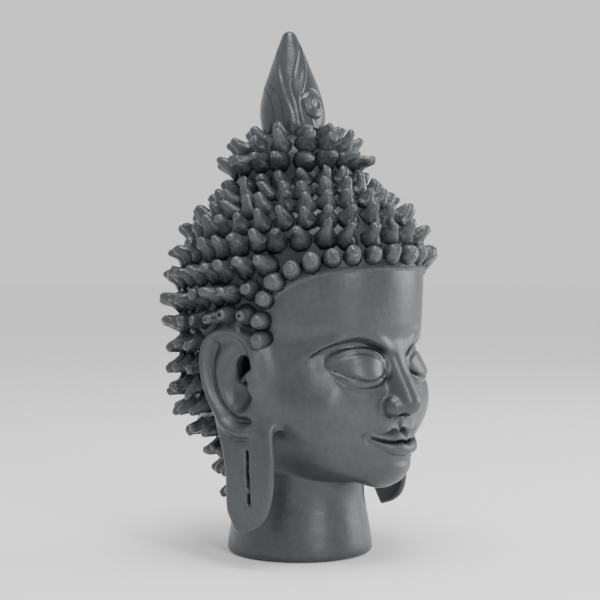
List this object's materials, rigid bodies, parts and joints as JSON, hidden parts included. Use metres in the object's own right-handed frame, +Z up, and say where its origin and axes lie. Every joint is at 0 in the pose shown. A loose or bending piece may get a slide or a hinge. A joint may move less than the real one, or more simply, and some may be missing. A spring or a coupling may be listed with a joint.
{
  "type": "buddha head statue",
  "caption": "Cast resin ornamental head with long ears, rows of pointed hair curls, a bun and a flame-shaped finial, standing on a flat neck.",
  "frame": {"origin": "centre of the flat underside of the neck", "axes": "+Z up along the neck to the finial, -Y the way the face looks, -X the figure's right side"},
  "size_m": [0.1431, 0.1591, 0.28],
  "materials": {
    "resin": "satin dark grey cast resin"
  },
  "bodies": {
    "root": {"cast_head": "resin"}
  },
  "joints": []
}
